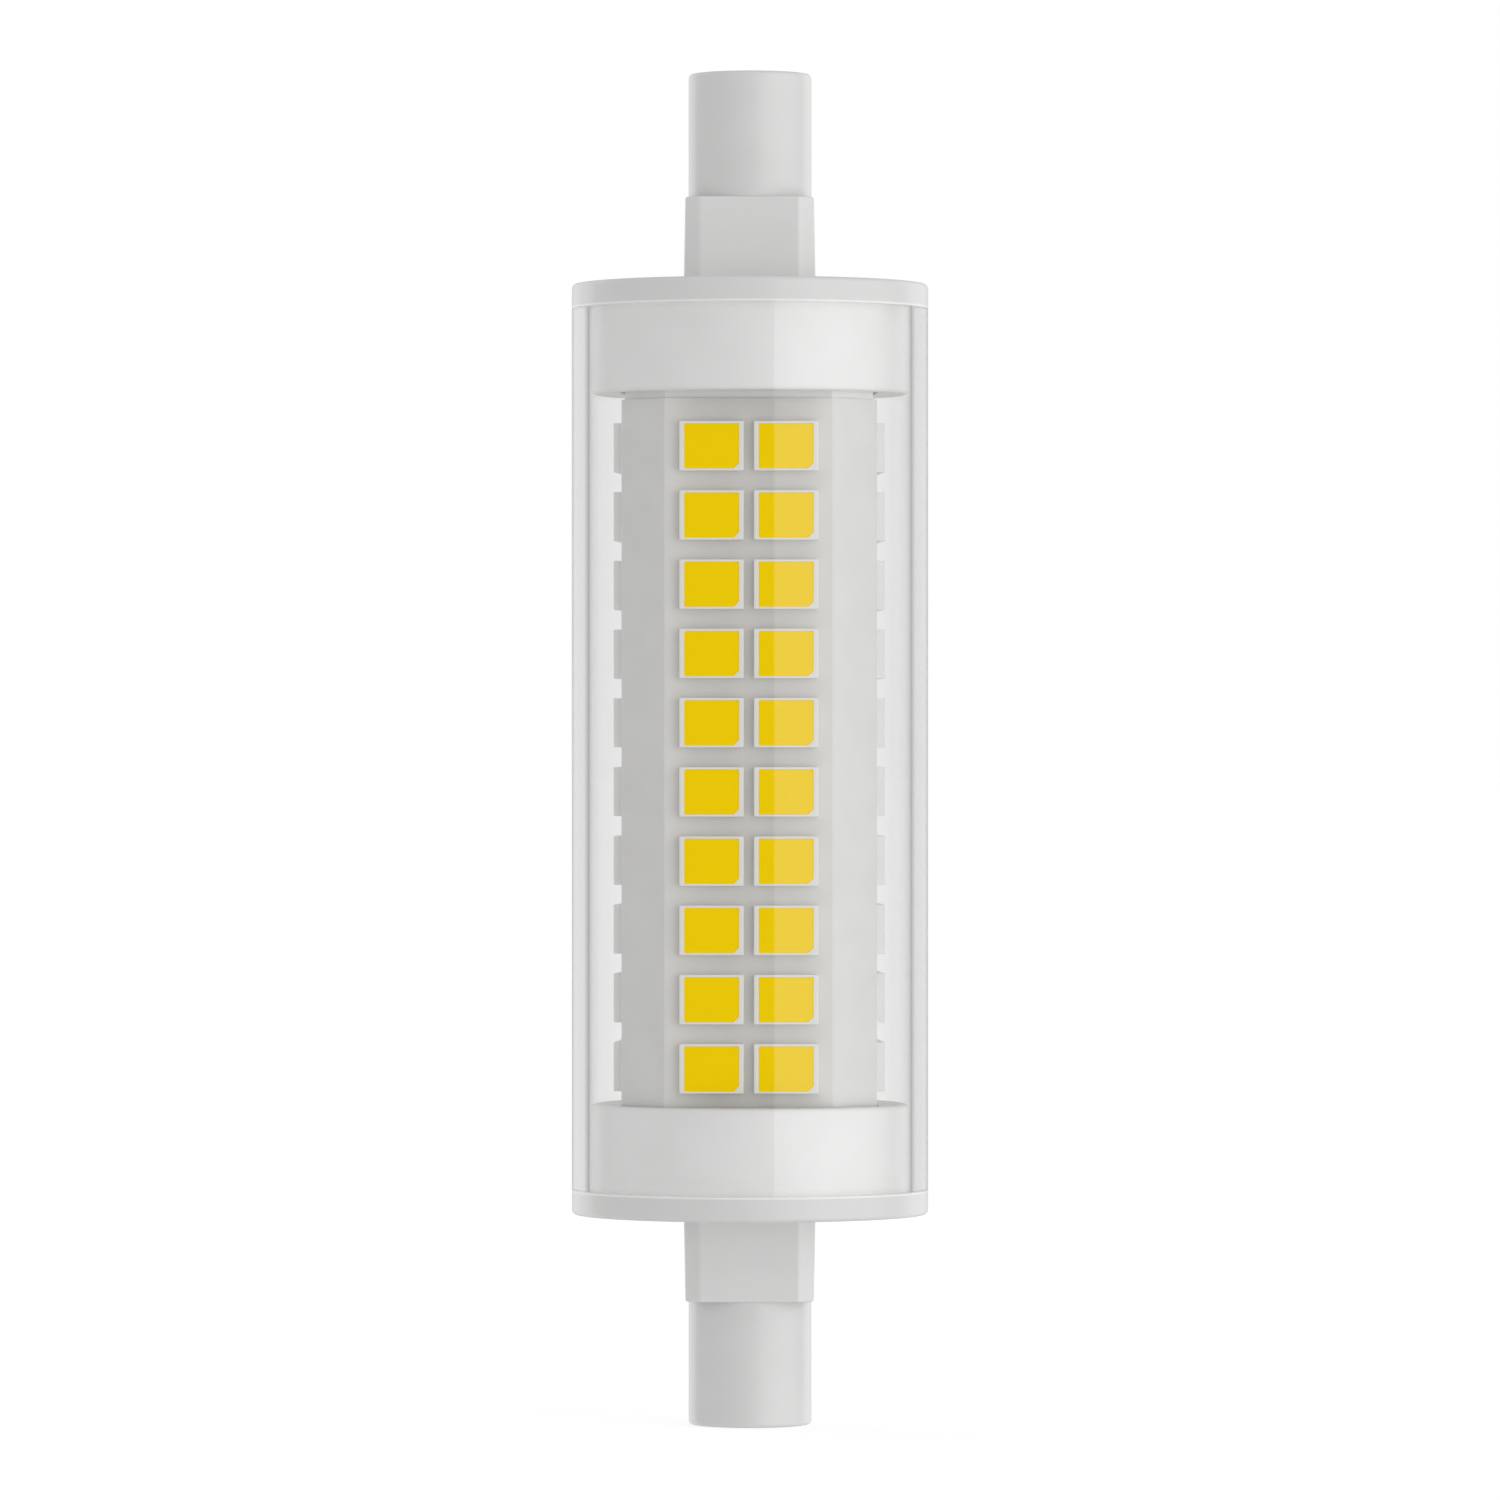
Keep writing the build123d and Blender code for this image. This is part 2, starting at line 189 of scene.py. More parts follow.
def circle(radius, angles):
    """Outline of a circle with its points at the given angles."""
    outline = []
    for angle in angles:
        nx, ny = unit(angle)
        outline.append(((radius * nx, radius * ny), (nx, ny)))
    return outline


def even_angles(count):
    return [2 * math.pi * step / count for step in range(count)]


def rounded_rectangle(half_width, half_height, radius, corner_cut=0.0):
    """Outline of a rectangle with round corners, anticlockwise from the lower right corner, which
    is cut straight across where a corner cut is given."""
    outline = []
    for number, (across, up) in enumerate(((1, -1), (1, 1), (-1, 1), (-1, -1))):
        for step in range(CORNER_STEPS + 1):
            share = step / CORNER_STEPS
            nx, ny = unit(math.pi / 2 * (number - 1 + share))
            x = across * (half_width - radius) + radius * nx
            y = up * (half_height - radius) + radius * ny
            if number == 0 and corner_cut:
                nx, ny = unit(-math.pi / 4)
                x = half_width - corner_cut * (1 - share)
                y = -half_height + corner_cut * share
            outline.append(((x, y), (nx, ny)))
    return outline


def ring(outline, height, inset=0.0):
    """One ring of points at a height, moved inwards from an outline."""
    return [(x - inset * nx, y - inset * ny, height) for (x, y), (nx, ny) in outline]


def rounded_edge(outline, height, radius, looks, inset=0.0, side=1):
    """Rings from a wall round its edge on to the end face, which looks up (1) or down (-1). The side
    is 1 for the outside of a wall and -1 for the wall of a hole."""
    rings = []
    for step in range(EDGE_STEPS + 1):
        turn = math.pi / 2 * step / EDGE_STEPS
        moved = inset + side * radius * (1 - math.cos(turn))
        rings.append(ring(outline, height - looks * radius * (1 - math.sin(turn)), moved))
    return rings


def add_skin(bm, rings, joined=False):
    """Stretches a skin over rings with as many points each. The last ring joins the first, or both
    are filled."""
    loops = [[bm.verts.new(Vector(point) * MM) for point in points] for points in rings]
    pairs = list(zip(loops, loops[1:]))
    if joined:
        pairs.append((loops[-1], loops[0]))
    else:
        bm.faces.new(loops[0])
        bm.faces.new(loops[-1])
    count = len(loops[0])
    for low, high in pairs:
        for first in range(count):
            second = (first + 1) % count
            bm.faces.new((low[first], low[second], high[second], high[first]))


def finish_piece(bm, name, material, stands_for=()):
    """Turns a bmesh into a piece that rides on the bulb and stands for CAD nodes."""
    bmesh.ops.recalc_face_normals(bm, faces=bm.faces)
    mesh = bpy.data.meshes.new(name)
    bm.to_mesh(mesh)
    bm.free()
    mesh.shade_smooth()
    mesh.set_sharp_from_angle(angle=SHARP_ANGLE)
    mesh.materials.append(material)
    piece = bpy.data.objects.new(name, mesh)
    bpy.context.scene.collection.objects.link(piece)
    even = piece.modifiers.new("even_normals", "WEIGHTED_NORMAL")
    even.keep_sharp = True
    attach(piece, "root")
    if stands_for:
        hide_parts(*stands_for)
    return piece


def set_inputs(holder, **inputs):
    """Sets some inputs of a node, named with underscores for spaces."""
    for name, value in inputs.items():
        holder.inputs[name.replace("_", " ")].default_value = value


def node(tree, kind, **inputs):
    """A new shader node with some of its inputs set."""
    made = tree.nodes.new(kind)
    set_inputs(made, **inputs)
    return made


def noise(tree, coordinates, size_mm, detail, stretch=(1, 1, 1)):
    """Noise whose features are about size_mm across, longer along an axis with a small stretch."""
    scaled = node(tree, "ShaderNodeMapping", Scale=stretch)
    tree.links.new(coordinates, scaled.inputs["Vector"])
    made = node(tree, "ShaderNodeTexNoise", Scale=1 / (size_mm * MM), Detail=detail)
    tree.links.new(scaled.outputs["Vector"], made.inputs["Vector"])
    return made.outputs["Fac"]


def mapped(tree, value, **limits):
    """A value carried from one range to another, which is 0 to 1 unless given."""
    made = node(tree, "ShaderNodeMapRange", **limits)
    tree.links.new(value, made.inputs["Value"])
    return made.outputs["Result"]


def span(tree, value, low, high):
    """Spreads a noise value over a range."""
    return mapped(tree, value, From_Min=NOISE_LOW, From_Max=NOISE_HIGH, To_Min=low, To_Max=high)


def blend(tree, factor, first, second):
    """A colour between two, each a socket or red, green and blue."""
    made = tree.nodes.new("ShaderNodeMix")
    made.data_type = "RGBA"
    for place, colour in (("A", first), ("B", second)):
        if isinstance(colour, tuple):
            made.inputs[place].default_value = (*colour, 1)
        else:
            tree.links.new(colour, made.inputs[place])
    tree.links.new(factor, made.inputs["Factor"])
    return made.outputs["Result"]


def grained(name, dark, light, patch_mm, roughness, grain_mm=0.0, grain_depth_mm=0.0, stretch=(1, 1, 1)):
    """A material whose colour wanders between two close colours in soft patches, with roughness that
    is even or follows the patches, and perhaps a fine grain on its surface."""
    material = bpy.data.materials.new(name)
    material.use_nodes = True
    tree = material.node_tree
    shader = tree.nodes["Principled BSDF"]
    coordinates = tree.nodes.new("ShaderNodeTexCoord").outputs["Object"]
    patches = noise(tree, coordinates, patch_mm, PATCH_DETAIL, stretch)
    tree.links.new(blend(tree, span(tree, patches, 0, 1), dark, light), shader.inputs["Base Color"])
    if isinstance(roughness, tuple):
        tree.links.new(span(tree, patches, *roughness), shader.inputs["Roughness"])
    else:
        shader.inputs["Roughness"].default_value = roughness
    if grain_depth_mm:
        grain = noise(tree, coordinates, grain_mm, GRAIN_DETAIL, stretch)
        bump = node(tree, "ShaderNodeBump", Strength=1.0, Distance=grain_depth_mm * MM)
        tree.links.new(grain, bump.inputs["Height"])
        tree.links.new(bump.outputs["Normal"], shader.inputs["Normal"])
    return material, shader


def math_node(tree, operation, first, second=0.0):
    """A Math node on a socket, and perhaps another socket or a number."""
    made = tree.nodes.new("ShaderNodeMath")
    made.operation = operation
    tree.links.new(first, made.inputs[0])
    if isinstance(second, float):
        made.inputs[1].default_value = second
    else:
        tree.links.new(second, made.inputs[1])
    return made.outputs["Value"]


def fewer(tree, count, limit):
    """1 where a whole number is below a limit."""
    return math_node(tree, "LESS_THAN", count, limit - 0.5)


def bounced_none(tree, paths):
    """1 for a ray that no shiny surface has reflected on its way."""
    return fewer(tree, paths.outputs["Glossy Depth"], 1)


def mix_shaders(tree, factor, first, second):
    made = tree.nodes.new("ShaderNodeMixShader")
    tree.links.new(factor, made.inputs["Fac"])
    tree.links.new(first, made.inputs[1])
    tree.links.new(second, made.inputs[2])
    return made.outputs["Shader"]


def tones_along(tree, value, low, high, tones):
    """Greys that follow a value from low to high, each tone with its place."""
    made = tree.nodes.new("ShaderNodeValToRGB")
    for element, (place, tone) in zip(made.color_ramp.elements, (tones[0], tones[-1])):
        element.position = (place - low) / (high - low)
        element.color = (tone, tone, tone, 1)
    for place, tone in tones[1:-1]:
        made.color_ramp.elements.new((place - low) / (high - low)).color = (tone, tone, tone, 1)
    tree.links.new(mapped(tree, value, From_Min=low, From_Max=high), made.inputs["Fac"])
    return made.outputs["Color"]


def places_on(tree):
    """The X, Y and Z of the place on the bulb that a material covers, in metres."""
    made = tree.nodes.new("ShaderNodeSeparateXYZ")
    tree.links.new(tree.nodes["Texture Coordinate"].outputs["Object"], made.inputs["Vector"])
    return made.outputs


def of_sides(tree, operation):
    """The lesser or the greater distance of a place from the two upright middle planes."""
    places = places_on(tree)
    return math_node(tree, operation, *[math_node(tree, "ABSOLUTE", places[axis]) for axis in ("X", "Y")])


def tint(tree, shader, colour):
    """Multiplies a shader's linked base colour by another."""
    made = tree.nodes.new("ShaderNodeVectorMath")
    made.operation = "MULTIPLY"
    tree.links.new(shader.inputs["Base Color"].links[0].from_socket, made.inputs[0])
    tree.links.new(colour, made.inputs[1])
    tree.links.new(made.outputs["Vector"], shader.inputs["Base Color"])


# Finishes. The tube was drawn along its axis, and its bore gives no reflection at low angles, so that what
# lies behind it keeps its colour
bulb_length = box_mm("upper_end_cap")[1].z
cap_ior = 1.55
tube_ior = 1.49
drawn = (1, 1, 0.1)
cap_plastic, cap_shader = grained(
    "cap_plastic", (0.845, 0.845, 0.839), (0.87, 0.87, 0.864),
    patch_mm=2.5, roughness=(0.2, 0.26), grain_mm=0.12, grain_depth_mm=0.00005)
# The caps' tone along the height from the end of a pin, each with its height: the pin and the flange are
# greyer than the neck and the spigot. The neck's rise towards the flange and the spigot's palest band next
# to the flange are painted light against the shade in the corners by the flange, and the spigot's darker
# end face is painted shade
tone_step = 0.01
pin_tone_end = 1.0
neck_painted_light_start = 9.4
painted_corner_light_step = 0.4
cap_tones_and_painted_light = (
    (0.0, 0.8),
    (pin_tone_end, 0.79),
    (pin_length - tone_step, 0.79),
    (pin_length, 0.84),
    (neck_painted_light_start, 0.85),
    (flange_bottom - tone_step, 0.93),
    (flange_bottom, 0.8),
    (flange_top - ledge_fall, 0.8),
    (flange_top, 1.13),
    (flange_top + painted_corner_light_step, 1.06),
    (flange_top + 2 * painted_corner_light_step, 1.0),
    (spigot_top - spigot_edge, 1.0),
    (spigot_top, 0.9),
)
tree = cap_plastic.node_tree
from_middle = math_node(tree, "SUBTRACT", places_on(tree)["Z"], bulb_length / 2 * MM)
from_middle = math_node(tree, "ABSOLUTE", from_middle)
from_end = math_node(tree, "ADD", math_node(tree, "MULTIPLY", from_middle, -1 / MM), bulb_length / 2)
tint(tree, cap_shader, tones_along(tree, from_end, 0.0, bulb_length / 2, cap_tones_and_painted_light))
set_inputs(cap_shader, IOR=cap_ior)
carrier_plastic, _ = grained(
    "carrier_plastic", (0.92, 0.92, 0.905), (0.95, 0.95, 0.935),
    patch_mm=2.0, roughness=(0.5, 0.6), grain_mm=0.15, grain_depth_mm=0.001)
board_white, board_shader = grained(
    "led_board", (0.693, 0.688, 0.677), (0.718, 0.713, 0.702),
    patch_mm=1.8, roughness=(0.38, 0.5), grain_mm=0.2, grain_depth_mm=0.001)
housing_white, housing_shader = grained(
    "led_housing", (0.865, 0.865, 0.855), (0.89, 0.89, 0.88),
    patch_mm=0.8, roughness=(0.35, 0.45), grain_mm=0.1, grain_depth_mm=0.0005)
phosphor_yellow, phosphor_shader = grained(
    "phosphor", (0.985, 0.68, 0.0008), (1.0, 0.7, 0.0012),
    patch_mm=0.25, roughness=(0.1, 0.16), grain_mm=0.06, grain_depth_mm=0.0004)
clear, clear_shader = grained(
    "clear_tube", (0.966, 0.966, 0.966), (0.972, 0.972, 0.972),
    patch_mm=3.0, roughness=0.0, stretch=drawn)
clear_bore, bore_shader = grained(
    "clear_tube_bore", (0.89, 0.89, 0.89), (0.896, 0.896, 0.896),
    patch_mm=3.0, roughness=0.0, stretch=drawn)
set_inputs(phosphor_shader, Specular_IOR_Level=0.05)
set_inputs(clear_shader, Transmission_Weight=1.0, IOR=tube_ior)
set_inputs(bore_shader, Transmission_Weight=1.0, IOR=tube_ior, Specular_Tint=(0.0, 0.0, 0.0, 1.0))
contact_metal, contact_shader = grained(
    "contact_metal", (0.62, 0.60, 0.56), (0.70, 0.68, 0.63),
    patch_mm=0.4, roughness=(0.22, 0.36), grain_mm=0.05, grain_depth_mm=0.0008)
tinned, tinned_shader = grained(
    "tinned_wire", (0.58, 0.58, 0.57), (0.68, 0.68, 0.67),
    patch_mm=0.3, roughness=(0.2, 0.4), grain_mm=0.08, grain_depth_mm=0.002)
satin_solder, solder_shader = grained(
    "solder", (0.66, 0.66, 0.65), (0.74, 0.74, 0.73),
    patch_mm=0.3, roughness=(0.42, 0.55), grain_mm=0.08, grain_depth_mm=0.001)
for metal_shader in (contact_shader, tinned_shader, solder_shader):
    set_inputs(metal_shader, Metallic=1.0)
driver_green, _ = grained(
    "driver_board", (0.02, 0.14, 0.05), (0.035, 0.19, 0.07),
    patch_mm=1.2, roughness=(0.3, 0.45), grain_mm=0.2, grain_depth_mm=0.002)
black_epoxy, _ = grained(
    "component_black", (0.022, 0.022, 0.023), (0.034, 0.034, 0.035),
    patch_mm=0.6, roughness=(0.45, 0.6), grain_mm=0.08, grain_depth_mm=0.003)
ceramic, _ = grained(
    "component_ceramic", (0.44, 0.34, 0.22), (0.55, 0.44, 0.31),
    patch_mm=0.5, roughness=(0.5, 0.65), grain_mm=0.1, grain_depth_mm=0.003)
can_sleeve, _ = grained(
    "capacitor_can", (0.03, 0.04, 0.075), (0.045, 0.055, 0.1),
    patch_mm=1.5, roughness=(0.25, 0.35), grain_mm=0.3, grain_depth_mm=0.001)
ferrite, _ = grained(
    "ferrite", (0.05, 0.05, 0.055), (0.07, 0.07, 0.075),
    patch_mm=0.4, roughness=(0.6, 0.75), grain_mm=0.1, grain_depth_mm=0.004)

# CAD nodes that keep their own shape
finishes = {
    "carrier_plastic": carrier_plastic,
    "tinned_wire": tinned,
    "driver_board": driver_green,
    "component_black": black_epoxy,
    "component_ceramic": ceramic,
    "capacitor_can": can_sleeve,
    "ferrite": ferrite,
}
for subpart in frame["record"]["subparts"]:
    finish = finishes.get(subpart["material_slot"])
    if finish is None:
        continue
    kept = frame["nodes"][subpart["node"]]
    if not kept.material_slots:
        kept.data.materials.append(finish)
    for place in kept.material_slots:
        place.link = "OBJECT"
        place.material = finish

# Outlines of the end caps, with their circles divided at the neck's angles
flange_radius = min(box_mm("lower_end_cap")[1].xy)
board_low, board_high = box_mm("led_board")
board_half_width = board_high.x
carrier_half_width = board_half_width - board_thickness
neck = chamfered_square(neck_half_width, neck_corner_cut, neck_corner_radius)
cap_angles = [math.atan2(y, x) for (x, y), normal in neck]


def cap_circle(radius):
    return circle(radius, cap_angles)


def carrier_outline(growth, corner_radius=inner_fold_radius):
    """The carrier's outside, grown all round."""
    cut = carrier_corner_cut + corner_growth * growth
    return chamfered_square(carrier_half_width + growth, cut, corner_radius)


board_seat = carrier_outline(board_thickness + pocket_clearance)
pocket = carrier_outline(pocket_clearance)
cap_rings = [
    ring(cap_circle(shank_hole_radius), web_top),
    ring(cap_circle(shank_hole_radius), seat_depth),
    ring(cap_circle(seat_radius), seat_depth),
    ring(cap_circle(seat_radius), recess_depth),
    ring(cap_circle(recess_radius), recess_depth),
    *rounded_edge(cap_circle(recess_radius), 0, recess_edge, -1, side=-1),
    *reversed(rounded_edge(cap_circle(pin_radius), 0, pin_edge, -1)),
    ring(cap_circle(pin_radius), pin_length),
    *reversed(rounded_edge(neck, pin_length, neck_edge, -1, inset=neck_top_inset)),
    ring(neck, flange_bottom),
    *reversed(rounded_edge(cap_circle(flange_radius), flange_bottom, flange_edge, -1)),
    ring(cap_circle(flange_radius), flange_top - ledge_fall),
    ring(cap_circle(spigot_radius), flange_top),
    *rounded_edge(cap_circle(spigot_radius), spigot_top, spigot_edge, 1),
    ring(board_seat, spigot_top),
    ring(board_seat, board_low.z),
    ring(pocket, board_low.z),
    ring(pocket, pocket_floor),
    ring(cap_circle(core_radius), pocket_floor),
    ring(cap_circle(core_radius), web_top),
]
contact_circle = circle(contact_radius, even_angles(CONTACT_STEPS))
shank_circle = circle(shank_radius, even_angles(CONTACT_STEPS))
contact_rings = [
    ring(shank_circle, recess_depth),
    *reversed(rounded_edge(contact_circle, recess_depth + contact_crown, contact_edge, -1)),
    ring(contact_circle, seat_depth),
    ring(shank_circle, seat_depth),
    ring(shank_circle, contact_top),
]


def other_way_up(rings):
    return [[(x, y, bulb_length - z) for x, y, z in points] for points in rings]


for end, turned in (("lower", lambda rings: rings), ("upper", other_way_up)):
    bm = bmesh.new()
    add_skin(bm, turned(cap_rings), joined=True)
    finish_piece(bm, f"{end}_cap_moulding", cap_plastic, [f"{end}_end_cap"])
    bm = bmesh.new()
    add_skin(bm, turned(contact_rings))
    finish_piece(bm, f"{end}_contact_button", contact_metal, [f"{end}_contact"])

# Clear tube, with its rims eased and bedded in the flanges' glue. Soft light and shadows pass it freely
tube_bottom = flange_top - tube_edge
tube_top = bulb_length - tube_bottom
tube_outside = circle(flange_radius, even_angles(TUBE_STEPS))
tube_inside = circle(flange_radius - tube_wall, even_angles(TUBE_STEPS))
bm = bmesh.new()
add_skin(
    bm,
    [
        *reversed(rounded_edge(tube_outside, tube_bottom, tube_edge, -1)),
        *rounded_edge(tube_outside, tube_top, tube_edge, 1),
        *reversed(rounded_edge(tube_inside, tube_top, tube_edge, 1, side=-1)),
        *rounded_edge(tube_inside, tube_bottom, tube_edge, -1, side=-1),
    ],
    joined=True,
)
glass = finish_piece(bm, "clear_tube_drawn", clear, ["clear_tube"])
glass.data.materials.append(clear_bore)
middle_of_wall = (flange_radius - tube_wall / 2) * MM
for polygon in glass.data.polygons:
    if polygon.center.xy.length < middle_of_wall:
        polygon.material_index = 1
glass.visible_shadow = False
glass.visible_diffuse = False

# LED board: a thin strip folded round the carrier, from one side of its seam to the other. The seam runs
# up the middle of the rear left corner
board_outside = carrier_outline(board_thickness, fold_radius)
board_inside = carrier_outline(0.0)
quarter_count = len(board_outside) // 4
seam = quarter_count + FLAT_STEPS + CORNER_STEPS + CUT_STEPS // 2
strip = []
for step in range(len(board_outside) + 1):
    place = (seam + step) % len(board_outside)
    shift = 0.0
    if step == 0:
        shift = board_seam / 2
    if step == len(board_outside):
        shift = -board_seam / 2
    section = []
    for outline, heights in ((board_outside, (board_low.z, board_high.z)),
                             (board_inside, (board_high.z, board_low.z))):
        (x, y), (nx, ny) = outline[place]
        for height in heights:
            section.append((x - shift * ny, y + shift * nx, height))
    strip.append(section)
bm = bmesh.new()
add_skin(bm, strip)
finish_piece(bm, "led_board_folded", board_white, ["led_board"])

# Copper under the white mask warms the board's wide faces. Their tones are painted shade, darkest under
# the
# LED columns where the LEDs shade the board, with a painted highlight on the borders next to the folds.
# Each tone has its distance from the middle of a face
flat_reach = board_half_width - carrier_corner_cut - corner_growth * board_thickness
copper_warmth = (1.0, 0.99, 0.956)
copper_fade = 0.4
column_gap_reach = 0.4
column_inner_part = 1.3
column_outer_part = 2.9
column_reach = 3.6
painted_light_border = 0.45
copper_and_painted_shade_tones = (
    (0.0, 0.92),
    (column_gap_reach, 0.92),
    (column_inner_part, 0.89),
    (column_outer_part, 0.925),
    (column_reach, 0.98),
    (flat_reach - painted_light_border, 1.05),
    (flat_reach - tone_step, 1.06),
    (flat_reach, 1.0),
)
tree = board_white.node_tree
off_middle = math_node(tree, "DIVIDE", of_sides(tree, "MINIMUM"), MM)
on_copper = mapped(tree, off_middle, From_Min=flat_reach, From_Max=flat_reach - copper_fade)
tint(tree, board_shader, blend(tree, on_copper, WHITE, copper_warmth))
tint(tree, board_shader, tones_along(tree, off_middle, 0.0, board_half_width, copper_and_painted_shade_tones))

# LEDs on the four wide faces: each housing is a tray with a cut corner, filled with phosphor
housing_low, housing_high = box_mm("led_housings_front")
led_thickness = housing_high.y - housing_low.y
face_distance = -housing_high.y
column_pitch = (housing_high.x - housing_low.x - led_width) / (led_columns - 1)
row_pitch = (housing_high.z - housing_low.z - led_height) / (led_rows - 1)
led_outside = rounded_rectangle(led_width / 2, led_height / 2, led_corner_radius)
led_cavity = rounded_rectangle(
    led_width / 2 - led_side_border,
    led_height / 2 - led_end_border,
    cavity_corner_radius,
    cavity_corner_cut,
)
tray_rings = [
    ring(led_outside, 0),
    *rounded_edge(led_outside, led_thickness, led_edge, 1),
    *reversed(rounded_edge(led_cavity, led_thickness, cavity_edge, 1, side=-1)),
    ring(led_cavity, led_thickness - cavity_depth),
]
# The phosphor tints the housings' rims, which lie furthest from the bulb's axis
rim_warmth = (0.94, 0.918, 0.88)
rim_distance = face_distance + led_thickness - cavity_edge
tree = housing_white.node_tree
on_rim = math_node(tree, "GREATER_THAN", of_sides(tree, "MAXIMUM"), rim_distance * MM)
tint(tree, housing_shader, blend(tree, on_rim, WHITE, rim_warmth))
fill_level = led_thickness - fill_recess
fill_rings = [
    ring(led_cavity, led_thickness - cavity_depth + fill_gap, fill_gap),
    ring(led_cavity, fill_level, fill_gap),
]
for share in FILL_SHARES:
    crown = fill_crown * (1 - share**2)
    fill_rings.append([(share * x, share * y, fill_level + crown) for (x, y), normal in led_cavity])


def placed(rings, centre, across, outward):
    """Rings stood on a face: their x runs across it, their y up the bulb and their height outwards."""
    up = Vector((0, 0, 1))
    return [[centre + x * across + y * up + z * outward for x, y, z in points] for points in rings]


faces = {
    "front": (Vector((1, 0, 0)), Vector((0, -1, 0))),
    "right": (Vector((0, 1, 0)), Vector((1, 0, 0))),
    "rear": (Vector((-1, 0, 0)), Vector((0, 1, 0))),
    "left": (Vector((0, -1, 0)), Vector((-1, 0, 0))),
}
for face, (across, outward) in faces.items():
    trays = bmesh.new()
    fills = bmesh.new()
    for row in range(led_rows):
        height = housing_low.z + led_height / 2 + row * row_pitch
        for column in range(led_columns):
            sideways = (column - (led_columns - 1) / 2) * column_pitch
            centre = face_distance * outward + sideways * across + Vector((0, 0, height))
            add_skin(trays, placed(tray_rings, centre, across, outward))
            add_skin(fills, placed(fill_rings, centre, across, outward))
    finish_piece(trays, f"led_trays_{face}", housing_white, [f"led_housings_{face}"])
    finish_piece(fills, f"led_fills_{face}", phosphor_yellow, [f"led_phosphor_{face}"])

# Solder round the two square pins
solder_shapes = []
for step in range(SOLDER_RINGS + 1):
    share = step / SOLDER_RINGS
    reach = solder_radius * (1 - solder_narrowing * share)
    height = solder_height * share**solder_bulge
    solder_shapes.append(ring(circle(reach, even_angles(SOLDER_STEPS)), height))
across, outward = faces["rear"]
for pin in ("positive", "negative"):
    pin_low, pin_high = box_mm(f"led_pin_{pin}")
    middle = (pin_low + pin_high) / 2
    centre = Vector((middle.x, face_distance, middle.z))
    bm = bmesh.new()
    add_skin(bm, placed(solder_shapes, centre, across, outward))
    finish_piece(bm, f"solder_{pin}", satin_solder)

# Studio: a white floor that keeps the bulb's shadow. It neither blocks nor returns light, so that the
# bulb is lit from below as from above, and reflections look past it
floor_reach = 12.0
floor_lift = 0.43
floor_grey = (0.8, 0.8, 0.8)
floor_mesh = bpy.data.meshes.new("floor")
floor_mesh.from_pydata(
    [(-floor_reach, -floor_reach, 0), (floor_reach, -floor_reach, 0),
     (floor_reach, floor_reach, 0), (-floor_reach, floor_reach, 0)], [], [(0, 1, 2, 3)])
floor = bpy.data.objects.new("floor", floor_mesh)
bpy.context.scene.collection.objects.link(floor)
floor.visible_glossy = False
floor.visible_diffuse = False
floor.visible_shadow = False
floor_paint = bpy.data.materials.new("floor_paint")
floor_paint.use_nodes = True
tree = floor_paint.node_tree
tree.nodes.clear()
paths = tree.nodes.new("ShaderNodeLightPath")
glow = node(tree, "ShaderNodeEmission", Color=(*WHITE, 1), Strength=floor_lift)
matt = node(tree, "ShaderNodeBsdfDiffuse", Color=(*floor_grey, 1))
both = tree.nodes.new("ShaderNodeAddShader")
tree.links.new(matt.outputs["BSDF"], both.inputs[0])
tree.links.new(glow.outputs["Emission"], both.inputs[1])
absent = tree.nodes.new("ShaderNodeBsdfTransparent")
there = mix_shaders(tree, bounced_none(tree, paths), absent.outputs["BSDF"], both.outputs["Shader"])
output = tree.nodes.new("ShaderNodeOutputMaterial")
tree.links.new(there, output.inputs["Surface"])
floor_mesh.materials.append(floor_paint)

# World. Its soft light is strongest from the front right and the rear left and weakest from above and
# below, with two rim lights behind the bulb. What is seen directly or straight through the tube is white.
# Reflections see a room with a white backdrop behind the bulb and a soft box on its right, which is
# stronger on the outside of the tube, and an even tone above and below. Reflections inside the tube's
# wall see greys of their own. Bearings are in degrees from the front, to the right, and the tones of the
# room and the wall follow the share of the direction that points backwards
ambient_strength = 0.97
ambient_slant = 0.66
ambient_drop = 0.55
rim_lights = ((-122.0, 0.4), (120.0, 0.1))
rim_sharpness = 4.0
softbox_radiance = 0.58
softbox_on_tube = 1.4
softbox_left = 16.0
softbox_left_fade = 0.7
softbox_right = 80.0
softbox_right_fade = 25.0
steep_start = 0.3
steep_end = 0.7
steep_tone = 0.45
room_tones = ((0.3, 0.02), (0.46, 0.12), (0.53, 0.6), (0.62, 1.0), (0.92, 1.0), (0.97, 0.7))
wall_tones = ((-1.0, 0.6), (0.6, 0.6), (0.7, 0.3), (0.74, 0.3), (0.83, 0.7), (1.0, 0.73))
world = bpy.data.worlds.new("studio")
bpy.context.scene.world = world
world.use_nodes = True
tree = world.node_tree
tree.nodes.clear()
paths = tree.nodes.new("ShaderNodeLightPath")
direction = tree.nodes.new("ShaderNodeTexCoord")
parts = tree.nodes.new("ShaderNodeSeparateXYZ")
tree.links.new(direction.outputs["Generated"], parts.inputs["Vector"])
front = math_node(tree, "MULTIPLY", parts.outputs["Y"], -1.0)
azimuth = math_node(tree, "ARCTAN2", parts.outputs["X"], front)
backwards = math_node(tree, "MULTIPLY", math_node(tree, "COSINE", azimuth), -1.0)
room = tones_along(tree, backwards, -1.0, 1.0, room_tones)
wall = tones_along(tree, backwards, -1.0, 1.0, wall_tones)
in_wall = fewer(tree, paths.outputs["Transmission Depth"], 3)
in_wall = math_node(tree, "MULTIPLY", paths.outputs["Is Transmission Ray"], in_wall)
backdrop = blend(tree, in_wall, room, wall)
on_tube = fewer(tree, paths.outputs["Transmission Depth"], 1)
on_tube = math_node(tree, "MULTIPLY", paths.outputs["Is Singular Ray"], on_tube)
panel = mapped(tree, on_tube, To_Min=softbox_radiance, To_Max=softbox_on_tube)
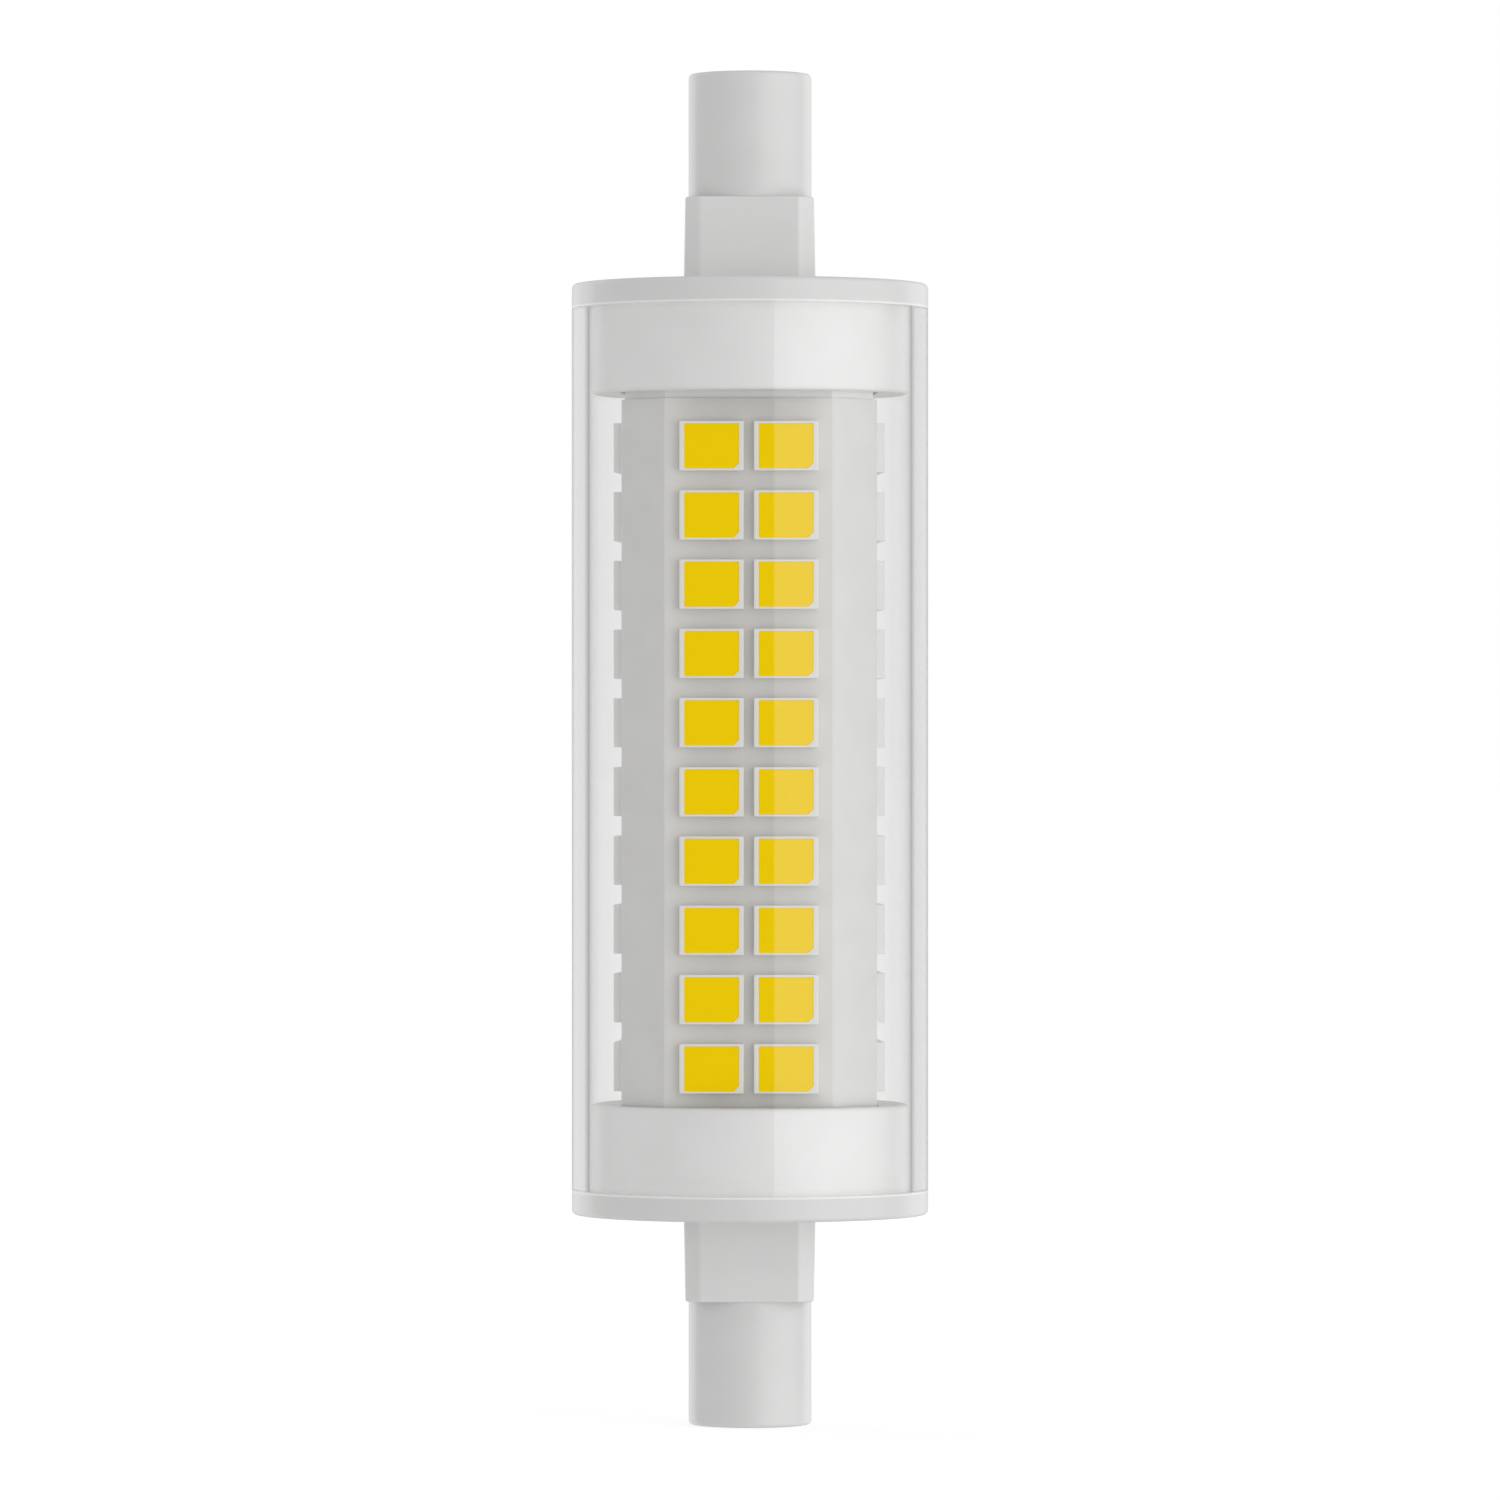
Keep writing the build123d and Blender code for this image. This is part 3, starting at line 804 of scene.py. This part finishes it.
for start, end in ((softbox_left - softbox_left_fade, softbox_left + softbox_left_fade),
                   (softbox_right + softbox_right_fade, softbox_right - softbox_right_fade)):
    edge = mapped(tree, azimuth, From_Min=math.radians(start), From_Max=math.radians(end))
    panel = math_node(tree, "MULTIPLY", edge, panel)
reflected = math_node(tree, "ADD", backdrop, panel)
steepness = math_node(tree, "ABSOLUTE", parts.outputs["Z"])
steepness = mapped(tree, steepness, From_Min=steep_start, From_Max=steep_end)
reflected = blend(tree, steepness, reflected, (steep_tone, steep_tone, steep_tone))
ambient = tree.nodes.new("ShaderNodeValue").outputs["Value"]
ambient.default_value = ambient_strength
for first, second, change in (("X", "Y", ambient_slant), ("Z", "Z", ambient_drop)):
    loss = math_node(tree, "MULTIPLY", parts.outputs[first], parts.outputs[second])
    loss = math_node(tree, "MULTIPLY", loss, change * ambient_strength)
    ambient = math_node(tree, "SUBTRACT", ambient, loss)
for bearing, radiance in rim_lights:
    towards_x, towards_y = math.sin(math.radians(bearing)), -math.cos(math.radians(bearing))
    sideways = math_node(tree, "MULTIPLY", parts.outputs["X"], towards_x)
    facing = math_node(tree, "ADD", math_node(tree, "MULTIPLY", parts.outputs["Y"], towards_y), sideways)
    glow = math_node(tree, "POWER", math_node(tree, "MAXIMUM", facing), rim_sharpness)
    ambient = math_node(tree, "ADD", math_node(tree, "MULTIPLY", glow, radiance), ambient)
soft = node(tree, "ShaderNodeBackground", Color=(*WHITE, 1))
tree.links.new(ambient, soft.inputs["Strength"])
white = node(tree, "ShaderNodeBackground", Color=(*WHITE, 1), Strength=1.0)
mirrored = node(tree, "ShaderNodeBackground", Color=(*WHITE, 1))
tree.links.new(reflected, mirrored.inputs["Strength"])
through = math_node(tree, "MULTIPLY", paths.outputs["Is Transmission Ray"], bounced_none(tree, paths))
seen = math_node(tree, "MAXIMUM", paths.outputs["Is Camera Ray"], through)
shiny = math_node(tree, "MAXIMUM", paths.outputs["Is Glossy Ray"], paths.outputs["Is Transmission Ray"])
glossy = mix_shaders(tree, shiny, soft.outputs["Background"], mirrored.outputs["Background"])
shown = mix_shaders(tree, seen, glossy, white.outputs["Background"])
output = tree.nodes.new("ShaderNodeOutputWorld")
tree.links.new(shown, output.inputs["Surface"])

# The soft box's light on the bulb, with its sizes in metres
lamp_radiance = 0.44
softbox_azimuth = math.radians(64.0)
softbox_distance = 0.9
softbox_width = 1.3
softbox_height = 1.1
softbox = bpy.data.lights.new("softbox", "AREA")
softbox.shape = "RECTANGLE"
softbox.size = softbox_width
softbox.size_y = softbox_height
softbox.energy = lamp_radiance * math.pi * softbox_width * softbox_height
lamp = bpy.data.objects.new("softbox", softbox)
bpy.context.scene.collection.objects.link(lamp)
lamp.location = (
    softbox_distance * math.sin(softbox_azimuth),
    -softbox_distance * math.cos(softbox_azimuth),
    bulb_length / 2 * MM,
)
lamp.rotation_euler = (math.pi / 2, 0, softbox_azimuth)
lamp.visible_camera = False
lamp.visible_glossy = False
lamp.visible_transmission = False

# Camera: level, just below half the bulb's height and almost straight in front, with a long lens. The
# distance and the clip are in metres, and the drop, the lens and the sensor in millimetres
camera_distance = 0.54
camera_azimuth = math.radians(0.55)
camera_drop = 0.046
camera_lens = 224.2
camera_sensor = 36.0
camera_clip = 0.01
camera = bpy.data.objects.new("camera", bpy.data.cameras.new("camera"))
bpy.context.scene.collection.objects.link(camera)
camera.data.lens = camera_lens
camera.data.sensor_width = camera_sensor
camera.data.clip_start = camera_clip
camera.location = (
    camera_distance * math.sin(camera_azimuth),
    -camera_distance * math.cos(camera_azimuth),
    (bulb_length / 2 - camera_drop) * MM,
)
camera.rotation_euler = (math.pi / 2, 0, camera_azimuth)
bpy.context.scene.camera = camera
bpy.context.scene.view_settings.view_transform = "Standard"
